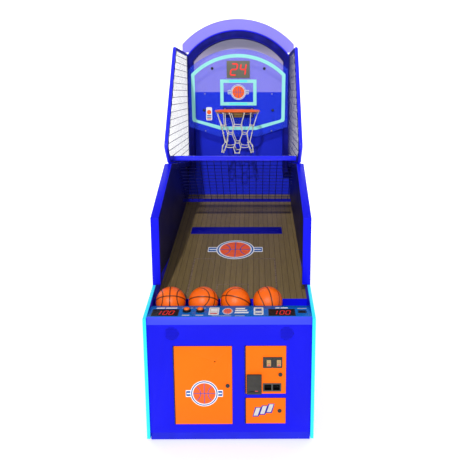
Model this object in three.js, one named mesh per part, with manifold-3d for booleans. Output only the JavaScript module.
// Arcade basketball hoop machine: a low front cabinet with a ball trough and control panel, a rising
// playfield between side walls, a wire cage of bent tube, and an arched back frame with the backboard,
// rim, net and marquee. Millimetres. X is right and Z is up. Inside the model Y runs back from the
// front edge of the cabinet, and the whole group is shifted so that its origin is the middle of the
// ground it covers.
import * as THREE from 'three';
import { mergeVertices } from 'three/addons/utils/BufferGeometryUtils.js';
import Module from 'manifold-3d';

const wasm = await Module();
wasm.setup();

// ---------------------------------------------------------------- driving dimensions
const WIDTH = 965;
const FRONT = -23;             // nose of the banknote acceptor, the foremost point
const REAR = 2441;             // back of the rear panel
const HEIGHT = 2615;           // top of the marquee
const BOARD = 19;              // cabinet board thickness
const GAP = 0.3;               // clearance between pieces that touch
const BODY_Z = 25;             // underside of the cabinet, above its feet
const EDGE_TRIM = 3;           // thickness of the coloured edge trim

const FACE_Y = 7;              // front face of the front panel
const FACE_TOP = 725;          // where the front panel turns back into its lip
const LIP_Y = 24;
const LIP_TOP = 767;
const TRIM_KNEE_Z = 762.5;     // edge trim turns back here
const TRIM_END_Y = 340.5;      // and ends here, at the foot of the side wall
const TRIM_SLOPE = 0.2305;

const PANEL_BACK_Y = 165;      // control panel's rear edge
const PANEL_BACK_Z = 775;
const FIELD_FRONT_Y = 352;     // playfield's front edge
const FIELD_FRONT_Z = 747;
const FIELD_SLOPE = 0.1734;
const FIELD_THICK = 18;
const TROUGH_FLOOR_Z = 676.3;
const TROUGH_SHEET = 2;

const WALL_FRONT_Y = 341;
const WALL_BASE_Z = 842.5;
const WALL_FRONT_TOP = 1260;
const WALL_PEAK_Y = 943;
const WALL_PEAK_Z = 1511;
const WALL_FLANGE = 50;        // width of the wall's front and top edge, measured across
const RAIL_SLOPE = -0.11;

const TUBE_R = 13;
const TUBE_X = 452;
const CAGE_TOP_Z = 2318;
const CAGE_FRONT_TOP_Y = 1379;
const MESH_IN = 435.5;         // inner face of a side mesh panel
const MESH_THICK = 3;

const FRAME_Y = 2085;          // front face of the arched back frame
const FRAME_DEEP = 114.7;
const ARCH_Z = 1960;           // centre height of the arch
const ARCH_IN = 497;
const ARCH_OUT = 565;
const MARQUEE_OUT = HEIGHT - ARCH_Z;
const POST_IN = 395;
const POST_OUT = 446;
const BACK_Y = 2200;           // front face of the back panel
const SPLIT_Z = 2000;          // window above, solid panel below

const BOARD_FACE_Y = 2072.4;   // backboard's front face
const RIM_Y = 1770;
const RIM_Z = 1847;
const RIM_R = 178;
const RIM_TUBE_R = 8;
const BALL_R = 89;

const HALF = WIDTH / 2;
const INNER = HALF - BOARD;
const CENTRE_Y = (FRONT + REAR) / 2;

// ---------------------------------------------------------------- helpers
const group = new THREE.Group();
group.position.set(0, -CENTRE_Y, 0);

const finish = (color, roughness, metalness = 0, opacity = 1) => new THREE.MeshStandardMaterial({
  color, roughness, metalness, opacity, transparent: opacity < 1,
});
const BLUE = () => finish(0x2020ee, 0.35);
const STEEL_BLUE = () => finish(0x1c20c8, 0.3, 0.2);
const ORANGE = () => finish(0xff7814, 0.4);
const BLACK = () => finish(0x15151a, 0.5);
const GREY = () => finish(0x4a4a48, 0.5, 0.2);

function place(name, geometry, material) {
  const mesh = new THREE.Mesh(geometry, material);
  mesh.name = name;
  group.add(mesh);
}

function box(x0, x1, y0, y1, z0, z1) {
  const geometry = new THREE.BoxGeometry(x1 - x0, y1 - y0, z1 - z0);
  return geometry.translate((x0 + x1) / 2, (y0 + y1) / 2, (z0 + z1) / 2);
}

function outline(points) {
  return new THREE.Shape(points.map(([a, b]) => new THREE.Vector2(a, b)));
}

// A section drawn in Y and Z, carried along X.
function alongX(shape, x0, x1, curveSegments = 12) {
  const geometry = new THREE.ExtrudeGeometry(shape, { depth: x1 - x0, bevelEnabled: false, curveSegments });
  const axes = new THREE.Matrix4().makeBasis(
    new THREE.Vector3(0, 1, 0), new THREE.Vector3(0, 0, 1), new THREE.Vector3(1, 0, 0));
  return geometry.applyMatrix4(axes).translate(x0, 0, 0);
}

// An outline drawn in X and Z, carried along Y.
function alongY(shape, y0, y1, curveSegments = 12) {
  const geometry = new THREE.ExtrudeGeometry(shape, { depth: y1 - y0, bevelEnabled: false, curveSegments });
  const axes = new THREE.Matrix4().makeBasis(
    new THREE.Vector3(1, 0, 0), new THREE.Vector3(0, 0, 1), new THREE.Vector3(0, -1, 0));
  return geometry.applyMatrix4(axes).translate(0, y1, 0);
}

function rod(radius, x, y, z, length, axis, sides = 24) {
  const geometry = new THREE.CylinderGeometry(radius, radius, length, sides);
  if (axis === 'z') geometry.rotateX(Math.PI / 2);
  if (axis === 'x') geometry.rotateZ(Math.PI / 2);
  return geometry.translate(x, y, z);
}

// Turned about a vertical axis; profile points are [radius, height].
function turned(points, sides, x = 0, y = 0, z = 0) {
  const profile = points.map(([r, h]) => new THREE.Vector2(r, h));
  const geometry = new THREE.LatheGeometry(profile, sides);
  return geometry.rotateX(Math.PI / 2).translate(x, y, z);
}

function solid(geometry) {
  const bare = geometry.clone();
  bare.deleteAttribute('normal');
  bare.deleteAttribute('uv');
  const merged = mergeVertices(bare, 1e-3);
  return new wasm.Manifold(new wasm.Mesh({
    numProp: 3,
    vertProperties: Float32Array.from(merged.attributes.position.array),
    triVerts: Uint32Array.from(merged.index.array),
  }));
}

function surface(body) {
  const mesh = body.getMesh();
  const geometry = new THREE.BufferGeometry();
  geometry.setAttribute('position', new THREE.BufferAttribute(mesh.vertProperties, 3));
  geometry.setIndex(new THREE.BufferAttribute(mesh.triVerts, 1));
  return geometry;
}

const less = (first, ...tools) => surface(tools.reduce((body, tool) => body.subtract(solid(tool)), solid(first)));
const joined = (...pieces) => surface(pieces.map(solid).reduce((body, piece) => body.add(piece)));

const fieldZ = (y) => FIELD_FRONT_Z + FIELD_SLOPE * (y - FIELD_FRONT_Y);
const railZ = (y) => 1518.5 + RAIL_SLOPE * (y - 1003);
const wallTopZ = (y) => WALL_PEAK_Z + RAIL_SLOPE * (y - WALL_PEAK_Y);
const sides = [['left', -1], ['right', 1]];
const span = (side, inner, outer) => (side < 0 ? [-outer, -inner] : [inner, outer]);

// ---------------------------------------------------------------- cabinet
const FACE_THICK = 19;
const FLOOR_TOP = 43;
const FACE_BASE = 61;
const REAR_FACE = REAR - BOARD;
const REAR_SHELF_Z = wallTopZ(REAR) - 1;

function trimLine(inset) {
  const kneeZ = TRIM_KNEE_Z - inset * Math.hypot(1, TRIM_SLOPE) + inset * TRIM_SLOPE;
  return [[inset, kneeZ], [TRIM_END_Y, kneeZ + TRIM_SLOPE * (TRIM_END_Y - inset)]];
}

for (const [name, side] of sides) {
  const [x0, x1] = span(side, INNER, HALF);
  const [knee, end] = trimLine(EDGE_TRIM + GAP);
  const panel = outline([[EDGE_TRIM + GAP, BODY_Z], knee, end, [TRIM_END_Y, WALL_BASE_Z],
    [REAR, WALL_BASE_Z], [REAR, BODY_Z]]);
  place(`side_panel_${name}`, alongX(panel, x0, x1), BLUE());

  const outer = trimLine(0);
  const inner = trimLine(EDGE_TRIM);
  const trim = outline([[0, BODY_Z], ...outer, inner[1], inner[0], [EDGE_TRIM, BODY_Z]]);
  place(`edge_trim_${name}`, alongX(trim, x0, x1), finish(0x30e8ff, 0.3));
}

place('floor_board', box(-INNER + GAP, INNER - GAP, 60, REAR_FACE - GAP, BODY_Z, FLOOR_TOP), finish(0x6b5236, 0.8));
place('kick_plate', box(-INNER + GAP, INNER - GAP, 28, 40, 4, FACE_BASE - GAP), finish(0x1414a0, 0.5));

const INLET = { x: 300, z: 150, wide: 50, tall: 30 };
const rearPanel = alongX(outline([[REAR_FACE, BODY_Z], [REAR, BODY_Z], [REAR, REAR_SHELF_Z],
  [BACK_Y + 13, REAR_SHELF_Z], [BACK_Y + 13, REAR_SHELF_Z - BOARD], [REAR_FACE, REAR_SHELF_Z - BOARD]]),
-INNER + GAP, INNER - GAP);
const inletBox = (grow, y0, y1) => box(INLET.x - INLET.wide / 2 - grow, INLET.x + INLET.wide / 2 + grow,
  y0, y1, INLET.z - INLET.tall / 2 - grow, INLET.z + INLET.tall / 2 + grow);
place('rear_panel', less(rearPanel, inletBox(GAP, REAR_FACE - 5, REAR + 5)), BLUE());
place('power_inlet', less(inletBox(0, REAR_FACE - 25, REAR),
  box(INLET.x - 12, INLET.x + 12, REAR - 14, REAR + 5, INLET.z - 8, INLET.z + 8)), BLACK());

const FOOT_X = 400;
const FOOT_PROFILE = [[0, 0], [24, 0], [25, 3], [22, 9], [7, 12], [7, BODY_Z - GAP], [0, BODY_Z - GAP]];
for (const [name, side] of sides) {
  place(`foot_front_${name}`, turned(FOOT_PROFILE, 24, side * FOOT_X, 130), BLACK());
  place(`foot_rear_${name}`, turned(FOOT_PROFILE, 24, side * FOOT_X, REAR - 110), BLACK());
}

// ---------------------------------------------------------------- front panel, doors and speakers
const DOORS = {
  service: { x0: -321, x1: 14, z0: 115, z1: 599, lockX: -13, lockZ: 357, swing: 110 },
  coin: { x0: 84, x1: 320, z0: 305, z1: 600, lockX: 287, lockZ: 425, swing: 95 },
  cash: { x0: 84, x1: 320, z0: 118, z1: 280, lockX: 284, lockZ: 200, swing: 110 },
};
const DOOR_Y = 5;
const DOOR_THICK = 3;
const HINGE_R = 3.2;
const SPEAKER = { x: 322, z: 672, r: 40 };
const LOCK_R = 9.5;
const CASH_LEDGE_Z = 112;

const face = alongX(outline([[FACE_Y, FACE_BASE], [FACE_Y, FACE_TOP], [LIP_Y - 0.4, LIP_TOP - 1],
  [LIP_Y - 0.4, LIP_TOP - 12.4], [40, LIP_TOP - 12.4], [40, 742], [FACE_Y + FACE_THICK, 724],
  [FACE_Y + FACE_THICK, FACE_BASE]]), -INNER + GAP, INNER - GAP);
const doorHoles = Object.values(DOORS).map((d) => box(d.x0, d.x1, FACE_Y - 5, 60, d.z0, d.z1));
const speakerHoles = sides.map(([, side]) => rod(SPEAKER.r, side * SPEAKER.x, 20, SPEAKER.z, 60, 'y', 32));
const ledge = box(90, 316, FACE_Y + FACE_THICK - 1, 280, CASH_LEDGE_Z, CASH_LEDGE_Z + 5);
place('front_panel', surface(solid(less(face, ...doorHoles, ...speakerHoles)).add(solid(ledge))), BLUE());

for (const [name, side] of sides) {
  const profile = [[0, 0], [39.4, 0], [39.4, 19.3], [48, 19.3], [48, 22], [30, 42], [22, 42], [22, 58], [0, 58]];
  const speaker = turned(profile, 32).rotateX(-Math.PI / 2).translate(side * SPEAKER.x, FACE_Y + GAP, SPEAKER.z);
  place(`speaker_${name}`, speaker, finish(0x2020c0, 0.5));
}

// What passes through the coin door: entries for two coins, the acceptor and the double return cup.
const ENTRY = { x0: 188, x1: 297, z0: 468, z1: 532 };
const CUPS = { x0: 188, x1: 293, z0: 321, z1: 372 };
const NOTE = { x0: 95, x1: 180, z0: 310, z1: 427 };

for (const [name, d] of Object.entries(DOORS)) {
  const axisX = d.x0 + 3.5;
  const tools = [rod(LOCK_R + 0.4, d.lockX, DOOR_Y, d.lockZ, 30, 'y', 32)];
  if (name === 'service') tools.push(rod(4, -84, DOOR_Y, 504, 30, 'y', 20));
  if (name === 'coin') {
    tools.push(box(CUPS.x0 + 5, CUPS.x1 - 5, 0, 20, CUPS.z0 + 4, CUPS.z1 - 4));
    tools.push(box(NOTE.x0 + 7, NOTE.x1 - 7, 0, 20, NOTE.z0 + 10, NOTE.z1 - 7));
  }
  const plate = box(axisX + HINGE_R + 0.5, d.x1 - 1.5, DOOR_Y, DOOR_Y + DOOR_THICK, d.z0 + 1.5, d.z1 - 1.5);
  place(`${name}_door`, less(plate, ...tools), ORANGE());
  place(`${name}_hinge`, rod(HINGE_R, axisX, DOOR_Y, (d.z0 + d.z1) / 2, d.z1 - d.z0 - 4, 'z', 16), GREY());

  const head = rod(11.5, d.lockX, DOOR_Y - 2.3, d.lockZ, 4, 'y', 32);
  const barrel = rod(LOCK_R, d.lockX, 16, d.lockZ, 26, 'y', 32);
  const cam = box(d.lockX - 8, d.lockX + 8, 28, 31, d.lockZ - 46, d.lockZ + 9);
  const keyway = box(d.lockX - 1, d.lockX + 1, -1, 2.5, d.lockZ - 4.5, d.lockZ + 4.5);
  place(`${name}_lock`, less(joined(head, barrel, cam), keyway), finish(0x2a3034, 0.3, 0.8));
}

const ENTRY_BEZELS = [[188, 240], [245, 297]];
const REJECT = { inset: 21, wide: 24, z0: 479, z1: 517 };
const entryFront = -2;
const entryPlate = box(ENTRY.x0, ENTRY.x1, 2.7, DOOR_Y - GAP, ENTRY.z0, ENTRY.z1);
const entryRaised = ENTRY_BEZELS.map(([x0, x1]) => box(x0, x1, entryFront, 3.2, ENTRY.z0, ENTRY.z1));
const entryCuts = ENTRY_BEZELS.flatMap(([x0]) => [
  box(x0 + 9, x0 + 14, -5, 3.4, 484, 512),
  box(x0 + REJECT.inset - 0.5, x0 + REJECT.inset + REJECT.wide + 0.5, -5, 3.9, REJECT.z0 - 0.5, REJECT.z1 + 0.5),
]);
place('coin_entry', less(joined(entryPlate, ...entryRaised), ...entryCuts), GREY());
ENTRY_BEZELS.forEach(([x0], i) => {
  const button = box(x0 + REJECT.inset, x0 + REJECT.inset + REJECT.wide, -4, 0.4, REJECT.z0, REJECT.z1);
  place(`reject_button_${sides[i][0]}`, button, finish(0xb89060, 0.4));
});

const cupPockets = [[196, 236], [245, 285]].map(([x0, x1]) => box(x0, x1, -5, 34, 328, 365));
place('coin_return', less(joined(
  box(CUPS.x0, CUPS.x1, 1.7, DOOR_Y - GAP, CUPS.z0, CUPS.z1),
  box(CUPS.x0 + 5.5, CUPS.x1 - 5.5, 4, 38, CUPS.z0 + 4.5, CUPS.z1 - 4.5)), ...cupPockets), GREY());

const noteFront = alongX(outline([[DOOR_Y - GAP, NOTE.z0], [FRONT + 6, NOTE.z0 + 3], [FRONT, NOTE.z0 + 14],
  [FRONT, NOTE.z0 + 30], [-8, NOTE.z0 + 46], [-8, NOTE.z1 - 3], [-4, NOTE.z1], [DOOR_Y - GAP, NOTE.z1]]),
NOTE.x0, NOTE.x1);
place('note_acceptor', less(
  joined(noteFront, box(NOTE.x0 + 7.5, NOTE.x1 - 7.5, 4, 70, NOTE.z0 + 10.5, NOTE.z1 - 7.5)),
  box(NOTE.x0 + 9, NOTE.x1 - 9, FRONT - 5, 4, NOTE.z0 + 20, NOTE.z0 + 25)), GREY());

const BIN = { x0: 104, x1: 300, y0: 34, y1: 270, z0: CASH_LEDGE_Z + 5 + GAP, z1: 262 };
place('cash_box', less(box(BIN.x0, BIN.x1, BIN.y0, BIN.y1, BIN.z0, BIN.z1),
  box(BIN.x0 + 2, BIN.x1 - 2, BIN.y0 + 2, BIN.y1 - 2, BIN.z0 + 2, BIN.z1 + 5)), GREY());

place('electronics_tray', joined(
  box(-170, 170, 480, 760, FLOOR_TOP + GAP, FLOOR_TOP + 4),
  box(-160, -40, 500, 740, FLOOR_TOP + 3, FLOOR_TOP + 75),
  box(-20, 160, 500, 740, FLOOR_TOP + 3, FLOOR_TOP + 18),
  box(20, 120, 560, 640, FLOOR_TOP + 17, FLOOR_TOP + 40)), finish(0x2f5a3a, 0.6));

// ---------------------------------------------------------------- control panel
const PANEL_THICK = 12;
const PANEL_RISE = (PANEL_BACK_Z - LIP_TOP) / (PANEL_BACK_Y - LIP_Y);
const panelZ = (y) => LIP_TOP + PANEL_RISE * (y - LIP_Y);
const DISPLAYS = [['left', -440, -293], ['right', 222, 369]];
const DISPLAY_Y = [34, 118];
const BUTTONS = [['start', -246.6], ['select', -169.8]];
const BUTTON_Y = 96;
const BUTTON_R = 16;

const sloped = (y0, y1, top, bottom, x0, x1) => alongX(outline([
  [y0, panelZ(y0) + bottom], [y0, panelZ(y0) + top], [y1, panelZ(y1) + top], [y1, panelZ(y1) + bottom]]), x0, x1);
const panelCuts = [
  ...DISPLAYS.map(([, x0, x1]) => sloped(DISPLAY_Y[0], DISPLAY_Y[1], 5, -30, x0, x1)),
  ...BUTTONS.map(([, x]) => rod(BUTTON_R + 0.5, x, BUTTON_Y, panelZ(BUTTON_Y), 60, 'z', 32)),
  sloped(70, 100, 5, -8, 391, 434),
];
place('control_panel', less(sloped(LIP_Y, PANEL_BACK_Y, 0, -PANEL_THICK, -INNER + GAP, INNER - GAP), ...panelCuts),
  finish(0x0064b9, 0.35));
for (const [name, x0, x1] of DISPLAYS) {
  place(`display_${name}`, sloped(DISPLAY_Y[0] + GAP, DISPLAY_Y[1] - GAP, -1, -9, x0 + GAP, x1 - GAP),
    finish(0x180808, 0.2));
}
for (const [name, x] of BUTTONS) {
  const profile = [[0, -26], [BUTTON_R - 3, -26], [BUTTON_R, -22], [BUTTON_R, 17], [BUTTON_R - 3, 20], [0, 21]];
  place(`${name}_button`, turned(profile, 32, x, BUTTON_Y, panelZ(BUTTON_Y)), ORANGE());
}

// ---------------------------------------------------------------- trough, playfield and ball gate
const troughFront = PANEL_BACK_Y + GAP;
const troughBack = FIELD_FRONT_Y - GAP;
const CORNER = 28;
function troughSection() {
  const shape = new THREE.Shape();
  const t = TROUGH_SHEET;
  const bottom = TROUGH_FLOOR_Z - t;
  shape.moveTo(troughFront, 756);
  shape.lineTo(troughFront, bottom + CORNER);
  shape.absarc(troughFront + CORNER, bottom + CORNER, CORNER, Math.PI, 1.5 * Math.PI, false);
  shape.absarc(troughBack - CORNER, bottom + CORNER, CORNER, 1.5 * Math.PI, 2 * Math.PI, false);
  shape.lineTo(troughBack, FIELD_FRONT_Z);
  shape.lineTo(troughBack - t, FIELD_FRONT_Z);
  shape.lineTo(troughBack - t, bottom + CORNER);
  shape.absarc(troughBack - CORNER, bottom + CORNER, CORNER - t, 2 * Math.PI, 1.5 * Math.PI, true);
  shape.absarc(troughFront + CORNER, bottom + CORNER, CORNER - t, 1.5 * Math.PI, Math.PI, true);
  shape.lineTo(troughFront + t, 756);
  return shape;
}
place('ball_trough', alongX(troughSection(), -INNER + GAP, INNER - GAP, 6), BLUE());

const GATE = { half: 356, y0: 1320.5, y1: 1452, thick: 12, chamfer: 16 };
const fieldStrip = (y0, y1, top, bottom, x0, x1) => alongX(outline([
  [y0, fieldZ(y0) + bottom], [y0, fieldZ(y0) + top], [y1, fieldZ(y1) + top], [y1, fieldZ(y1) + bottom]]), x0, x1);
place('playfield', less(
  fieldStrip(FIELD_FRONT_Y, BACK_Y - GAP, 0, -FIELD_THICK, -INNER + GAP, INNER - GAP),
  fieldStrip(GATE.y0 - 1, GATE.y1 + 1, 5, -30, -GATE.half - 1, GATE.half + 1)), finish(0x7a6440, 0.5));
const gateCorners = [-1, 1].map((side) => {
  const shape = outline([[-GATE.chamfer, -GATE.chamfer], [GATE.chamfer, -GATE.chamfer], [-GATE.chamfer, GATE.chamfer]]);
  const tool = new THREE.ExtrudeGeometry(shape, { depth: 400, bevelEnabled: false });
  if (side > 0) tool.rotateZ(Math.PI / 2);
  return tool.translate(side * GATE.half, GATE.y0, 800);
});
place('ball_gate', less(fieldStrip(GATE.y0, GATE.y1, 0, -GATE.thick, -GATE.half, GATE.half), ...gateCorners),
  finish(0x1010a8, 0.3, 0.3));

const BALL_X = [-361, -166, 25, 220];
const BALL_Y = (troughFront + troughBack) / 2;
BALL_X.forEach((x, i) => {
  const ball = new THREE.SphereGeometry(BALL_R, 20, 12);
  place(`ball_${i + 1}`, ball.translate(x, BALL_Y, TROUGH_FLOOR_Z + BALL_R + GAP), finish(0xff7010, 0.6));
});

// ---------------------------------------------------------------- side walls
function wallOutline(inset) {
  const rise = (WALL_PEAK_Z - WALL_FRONT_TOP) / (WALL_PEAK_Y - WALL_FRONT_Y);
  const down = inset * Math.hypot(1, rise);
  const back = inset * Math.hypot(1, RAIL_SLOPE);
  const peakY = WALL_PEAK_Y + (down - back) / (rise - RAIL_SLOPE);
  const edgeZ = (y) => WALL_FRONT_TOP + rise * (y - WALL_FRONT_Y) - down;
  return { front: WALL_FRONT_Y + inset, edgeZ, peakY, backZ: (y) => wallTopZ(y) - back };
}
function wallShape(inset, rear, base) {
  const w = wallOutline(inset);
  return outline([[w.front, base], [w.front, w.edgeZ(w.front)], [w.peakY, w.edgeZ(w.peakY)],
    [rear, w.backZ(rear)], [rear, base]]);
}
const FLANGE_DEEP = 38;
for (const [name, side] of sides) {
  const [x0, x1] = span(side, INNER, HALF);
  const [f0, f1] = span(side, HALF - WALL_FLANGE, INNER + 1);
  const wall = alongX(wallShape(0, REAR, WALL_BASE_Z + GAP), x0, x1);
  const flange = solid(alongX(wallShape(0, FRAME_Y - 5, WALL_BASE_Z + GAP), f0, f1))
    .subtract(solid(alongX(wallShape(FLANGE_DEEP, FRAME_Y + 50, WALL_BASE_Z - 50), f0 - 5, f1 + 5)));
  place(`side_wall_${name}`, surface(solid(wall).add(flange)), BLUE());
}

// ---------------------------------------------------------------- wire cage
const CAGE_END_Y = FRAME_Y - 2;
const CAGE_CORNERS = [
  { y: CAGE_END_Y, z: CAGE_TOP_Z },
  { y: CAGE_FRONT_TOP_Y, z: CAGE_TOP_Z, r: 32 },
  { y: 824, z: 1638, r: 45 },
  { y: 952, z: railZ(952), r: 60 },
  { y: CAGE_END_Y, z: railZ(CAGE_END_Y) },
];

// Straight runs joined by arcs, in the plane of one side of the cage.
function cagePath(x) {
  const at = (c) => new THREE.Vector3(x, c.y, c.z);
  const path = new THREE.CurvePath();
  let from = at(CAGE_CORNERS[0]);
  for (let i = 1; i < CAGE_CORNERS.length - 1; i += 1) {
    const corner = at(CAGE_CORNERS[i]);
    const back = at(CAGE_CORNERS[i - 1]).sub(corner).normalize();
    const on = at(CAGE_CORNERS[i + 1]).sub(corner).normalize();
    const reach = CAGE_CORNERS[i].r / Math.tan(back.angleTo(on) / 2);
    const start = corner.clone().addScaledVector(back, reach);
    const end = corner.clone().addScaledVector(on, reach);
    path.add(new THREE.LineCurve3(from, start));
    path.add(new THREE.QuadraticBezierCurve3(start, corner, end));
    from = end;
  }
  path.add(new THREE.LineCurve3(from, at(CAGE_CORNERS.at(-1))));
  return path;
}

// The same path as points, so that a straight run takes no needless steps.
function cagePoints(x) {
  return cagePath(x).curves.flatMap((curve) => curve.getPoints(curve.isLineCurve3 ? 1 : 10).slice(0, -1))
    .concat([new THREE.Vector3(x, CAGE_CORNERS.at(-1).y, CAGE_CORNERS.at(-1).z)]);
}

// A round tube swept along points that lie in one plane of constant X. At each point its section is
// turned halfway between the runs before and after, so it follows the bends at an even thickness.
function planarTube(points, radius, around = 14) {
  const position = [];
  const index = [];
  const last = points.length - 1;
  const direction = (i) => points[i + 1].clone().sub(points[i]).normalize();
  points.forEach((point, i) => {
    const before = direction(Math.max(i - 1, 0));
    const after = direction(Math.min(i, last - 1));
    const along = before.add(after).multiplyScalar(0.5);
    const stretch = 1 / along.length();
    along.normalize();
    const across = new THREE.Vector3(0, -along.z, along.y);
    for (let k = 0; k < around; k += 1) {
      const angle = (2 * Math.PI * k) / around;
      const p = point.clone().addScaledVector(across, radius * stretch * Math.cos(angle));
      position.push(p.x + radius * Math.sin(angle), p.y, p.z);
    }
  });
  const quad = (a, b) => index.push(a, b, a + around, b, b + around, a + around);
  for (let i = 0; i < last; i += 1) {
    for (let k = 0; k < around; k += 1) quad(i * around + k, i * around + ((k + 1) % around));
  }
  const end = last * around;
  for (let k = 1; k < around - 1; k += 1) index.push(0, k + 1, k, end, end + k, end + k + 1);
  const geometry = new THREE.BufferGeometry();
  geometry.setAttribute('position', new THREE.Float32BufferAttribute(position, 3));
  geometry.setIndex(index);
  return geometry;
}

const BAR = { y0: 1040, y1: 1063, z0: 1521, z1: 1554, half: 467 };
const bar = box(-BAR.half, BAR.half, BAR.y0, BAR.y1, BAR.z0, BAR.z1);
place('cross_bar', less(bar, ...sides.map(([, side]) => planarTube(cagePoints(side * TUBE_X), TUBE_R + GAP))),
  STEEL_BLUE());
for (const [name, side] of sides) {
  place(`cage_frame_${name}`, planarTube(cagePoints(side * TUBE_X), TUBE_R), STEEL_BLUE());
  const edge = outline(cagePoints(0).map((p) => [p.y, p.z]));
  const [x0, x1] = span(side, MESH_IN, MESH_IN + MESH_THICK);
  const clear = box(-BAR.half - 5, BAR.half + 5, BAR.y0 - 1, BAR.y1 + 1, BAR.z0 - 50, BAR.z1 + 1);
  place(`side_mesh_${name}`, less(alongX(edge, x0, x1), clear), finish(0x30346a, 0.4, 0.5, 0.6));
}

// The lower screen leans back from the cross bar to a rail above the playfield.
const SCREEN = { topY: 1066, topZ: 1536, railY: 1500, railZ: 1150, half: 430 };
const screen = outline([[SCREEN.topY, SCREEN.topZ], [SCREEN.topY, SCREEN.topZ - 4],
  [SCREEN.railY - 12, SCREEN.railZ + 8], [SCREEN.railY - 12, SCREEN.railZ - 14], [SCREEN.railY + 4, SCREEN.railZ - 14],
  [SCREEN.railY + 4, SCREEN.railZ + 10]]);
place('lower_screen', alongX(screen, -SCREEN.half, SCREEN.half), finish(0x20249a, 0.4, 0.5, 0.6));

// ---------------------------------------------------------------- back frame, marquee and back
function archOutline(half, radius, base) {
  const shape = new THREE.Shape();
  const reach = Math.asin(half / radius);
  shape.moveTo(-half, base);
  shape.lineTo(half, base);
  shape.absarc(0, ARCH_Z, radius, Math.PI / 2 - reach, Math.PI / 2 + reach, false);
  return shape;
}
const POST_BASE = 1290;
place('back_frame', less(
  alongY(archOutline(POST_OUT, ARCH_OUT, POST_BASE), FRAME_Y, FRAME_Y + FRAME_DEEP, 40),
  alongY(archOutline(POST_IN, ARCH_IN, POST_BASE - 50), FRAME_Y - 50, FRAME_Y + FRAME_DEEP + 50, 40)), BLUE());

const MARQUEE_BASE = 2335;
place('marquee', less(
  alongY(archOutline(HALF - 0.5, MARQUEE_OUT, MARQUEE_BASE), FRAME_Y + 4, FRAME_Y + 14, 40),
  alongY(archOutline(ARCH_OUT + 1 - 1e-3, ARCH_OUT + 1, 1500), FRAME_Y - 50, FRAME_Y + 50, 64)),
finish(0x988cf4, 0.3, 0, 0.8));

const WALL_LEVEL = wallTopZ(BACK_Y) + 3;
place('back_panel', alongY(outline([[-INNER + GAP, 1030], [INNER - GAP, 1030], [INNER - GAP, WALL_LEVEL],
  [POST_OUT, WALL_LEVEL], [POST_OUT, SPLIT_Z], [-POST_OUT, SPLIT_Z], [-POST_OUT, WALL_LEVEL],
  [-INNER + GAP, WALL_LEVEL]]), BACK_Y, BACK_Y + 12), finish(0x1418b8, 0.15));
place('rear_window', alongY(archOutline(POST_OUT, ARCH_OUT - 5, SPLIT_Z + GAP), BACK_Y, BACK_Y + 6, 40),
  finish(0x8a80a0, 0.1, 0, 0.5));

// ---------------------------------------------------------------- backboard, clock, rim and net
const BOARD_THICK = 12;
function boardOutline() {
  const half = 432;
  const radius = 628;
  const centre = 2365 - radius;
  const reach = Math.asin(half / radius);
  const shape = new THREE.Shape();
  shape.moveTo(170, 1612);
  shape.lineTo(half, 1697);
  shape.absarc(0, centre, radius, Math.PI / 2 - reach, Math.PI / 2 + reach, false);
  shape.lineTo(-half, 1697);
  shape.lineTo(-170, 1612);
  return shape;
}
place('backboard', alongY(boardOutline(), BOARD_FACE_Y, BOARD_FACE_Y + BOARD_THICK, 32),
  finish(0x8c82dc, 0.15, 0, 0.6));
place('shot_clock', box(-100, 100, 2050, BOARD_FACE_Y - GAP, 2120, 2264), finish(0x69695a, 0.5));

const ring = new THREE.TorusGeometry(RIM_R, RIM_TUBE_R, 8, 48).translate(0, RIM_Y, RIM_Z);
place('rim', ring, finish(0xf06a30, 0.35, 0.3));
const RIM_BACK = RIM_Y + RIM_R;
const UNDER_RIM = RIM_Z - RIM_TUBE_R - GAP;
place('rim_bracket', joined(
  box(-72, 72, RIM_BACK - 3, BOARD_FACE_Y - 9, UNDER_RIM - 5, UNDER_RIM),
  box(-37, 37, RIM_BACK + 10, BOARD_FACE_Y - 9, 1785, UNDER_RIM - 4),
  box(-135, 135, BOARD_FACE_Y - 10, BOARD_FACE_Y - GAP, 1778, 1869)), finish(0x9a7a45, 0.4, 0.6));

const NET_SHEET = 3;
const NET_SHAPE = [[170, 1836], [156, 1785], [142, 1729], [122, 1664], [113, 1592], [130, 1558], [141, 1520], [143, 1508]];
const netInside = NET_SHAPE.map(([r, z]) => [r - NET_SHEET, z]);
const netProfile = [...netInside, ...NET_SHAPE.toReversed(), netInside[0]];
place('net', turned(netProfile, 24, 0, RIM_Y), finish(0xe8e4dc, 0.8));

export default group;
